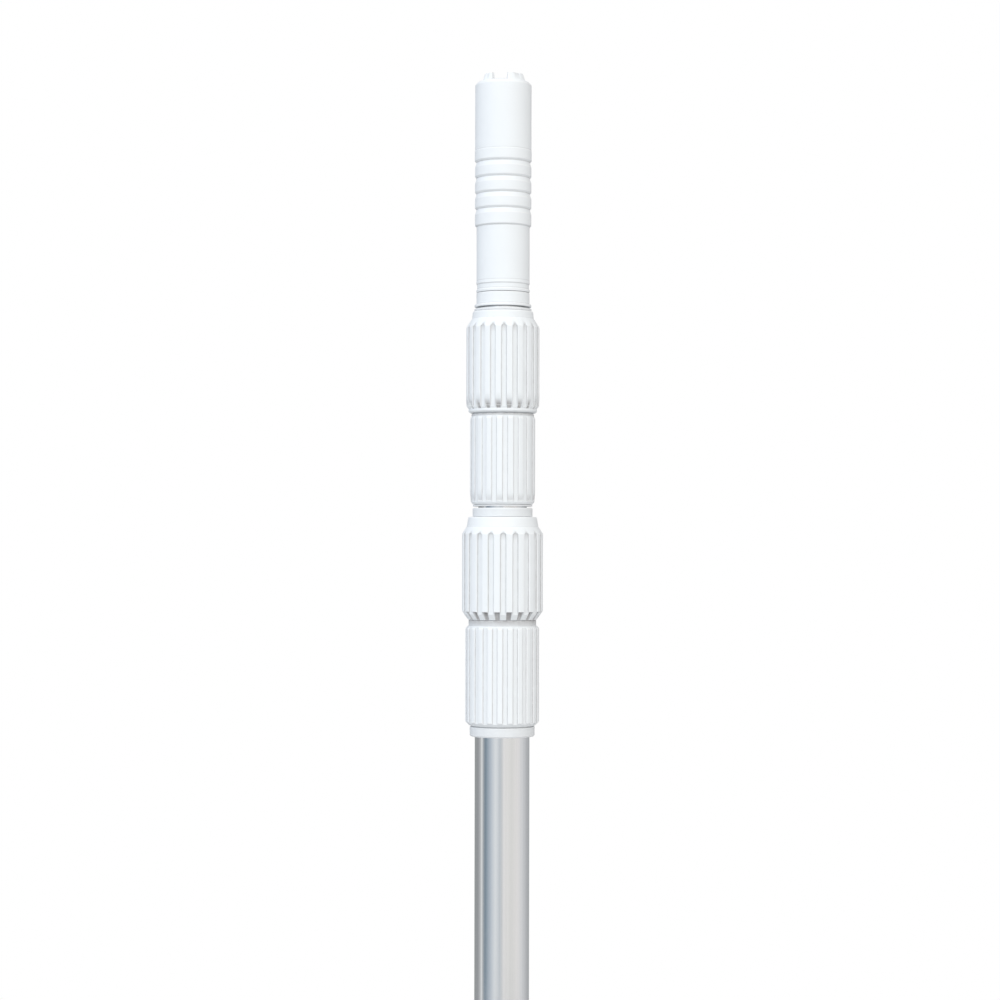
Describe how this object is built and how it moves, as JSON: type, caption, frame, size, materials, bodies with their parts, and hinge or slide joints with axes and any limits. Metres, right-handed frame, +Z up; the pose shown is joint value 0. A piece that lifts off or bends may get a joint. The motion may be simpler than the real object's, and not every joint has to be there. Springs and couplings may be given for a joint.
{
  "type": "telescopic window cleaning pole",
  "caption": "Closed telescopic pole: ribbed plastic twist locks and a castellated tip sleeve on nested satin aluminium tubes, for window washing tools.",
  "frame": {"origin": "centre of the butt cap's flat lower face, on the axis of the tubes", "axes": "+Z runs up the pole from the butt to the tip; +X is to the right and -Y towards a viewer who faces the pole"},
  "size_m": [0.0518, 0.0518, 1.2182],
  "materials": {
    "white_plastic": "moulded, semi-matt",
    "satin_aluminium": "satin anodised, drawn lengthwise",
    "natural_nylon": "natural, semi-matt",
    "steel": "plain turned",
    "black_rubber": "moulded, matt"
  },
  "bodies": {
    "outer_section": {"outer_tube": "satin_aluminium", "butt_cap": "black_rubber", "lower_collar": "white_plastic", "lower_collar_liner": "white_plastic", "lower_collet": "natural_nylon"},
    "lower_wedge": {"lower_wedge_ring": "natural_nylon"},
    "lower_nut_body": {"lower_nut": "white_plastic", "lower_wiper_ring": "white_plastic"},
    "middle_bush": {"middle_guide_bush": "natural_nylon"},
    "middle_section": {"middle_tube": "satin_aluminium", "middle_end_plug": "natural_nylon", "middle_plug_pin": "steel", "upper_collar": "white_plastic", "upper_collar_liner": "white_plastic", "upper_collet": "natural_nylon"},
    "upper_wedge": {"upper_wedge_ring": "natural_nylon"},
    "upper_nut_body": {"upper_nut": "white_plastic", "upper_wiper_ring": "white_plastic"},
    "inner_bush": {"inner_guide_bush": "natural_nylon"},
    "inner_section": {"inner_tube": "satin_aluminium", "inner_end_plug": "natural_nylon", "inner_plug_pin": "steel", "crown_insert": "white_plastic", "crown_pin": "steel", "tip_sleeve": "white_plastic", "tip_end_ring": "white_plastic"}
  },
  "joints": [
    {"name": "lower_wedge_slide", "type": "slide", "parent": "outer_section", "child": "lower_wedge", "axis": [0, 0, 1], "range_m": [0, 0.0009]},
    {"name": "lower_nut_turn", "type": "hinge", "parent": "lower_wedge", "child": "lower_nut_body", "pos_m": [0, 0, 0.9], "axis": [0, 0, 1], "range_deg": [0, 180]},
    {"name": "middle_slide", "type": "slide", "parent": "outer_section", "child": "middle_bush", "axis": [0, 0, 1], "range_m": [0, 0.78]},
    {"name": "middle_spin", "type": "hinge", "parent": "middle_bush", "child": "middle_section", "pos_m": [0, 0, 0.1], "axis": [0, 0, 1], "continuous": true},
    {"name": "upper_wedge_slide", "type": "slide", "parent": "middle_section", "child": "upper_wedge", "axis": [0, 0, 1], "range_m": [0, 0.0009]},
    {"name": "upper_nut_turn", "type": "hinge", "parent": "upper_wedge", "child": "upper_nut_body", "pos_m": [0, 0, 1.03], "axis": [0, 0, 1], "range_deg": [0, 180]},
    {"name": "inner_slide", "type": "slide", "parent": "middle_section", "child": "inner_bush", "axis": [0, 0, 1], "range_m": [0, 0.78]},
    {"name": "inner_spin", "type": "hinge", "parent": "inner_bush", "child": "inner_section", "pos_m": [0, 0, 0.2], "axis": [0, 0, 1], "continuous": true}
  ],
  "couplings": [
    {"joint": "lower_wedge_slide", "follows": "lower_nut_turn", "m_per_rad": 0.00028648},
    {"joint": "upper_wedge_slide", "follows": "upper_nut_turn", "m_per_rad": 0.00028648}
  ]
}
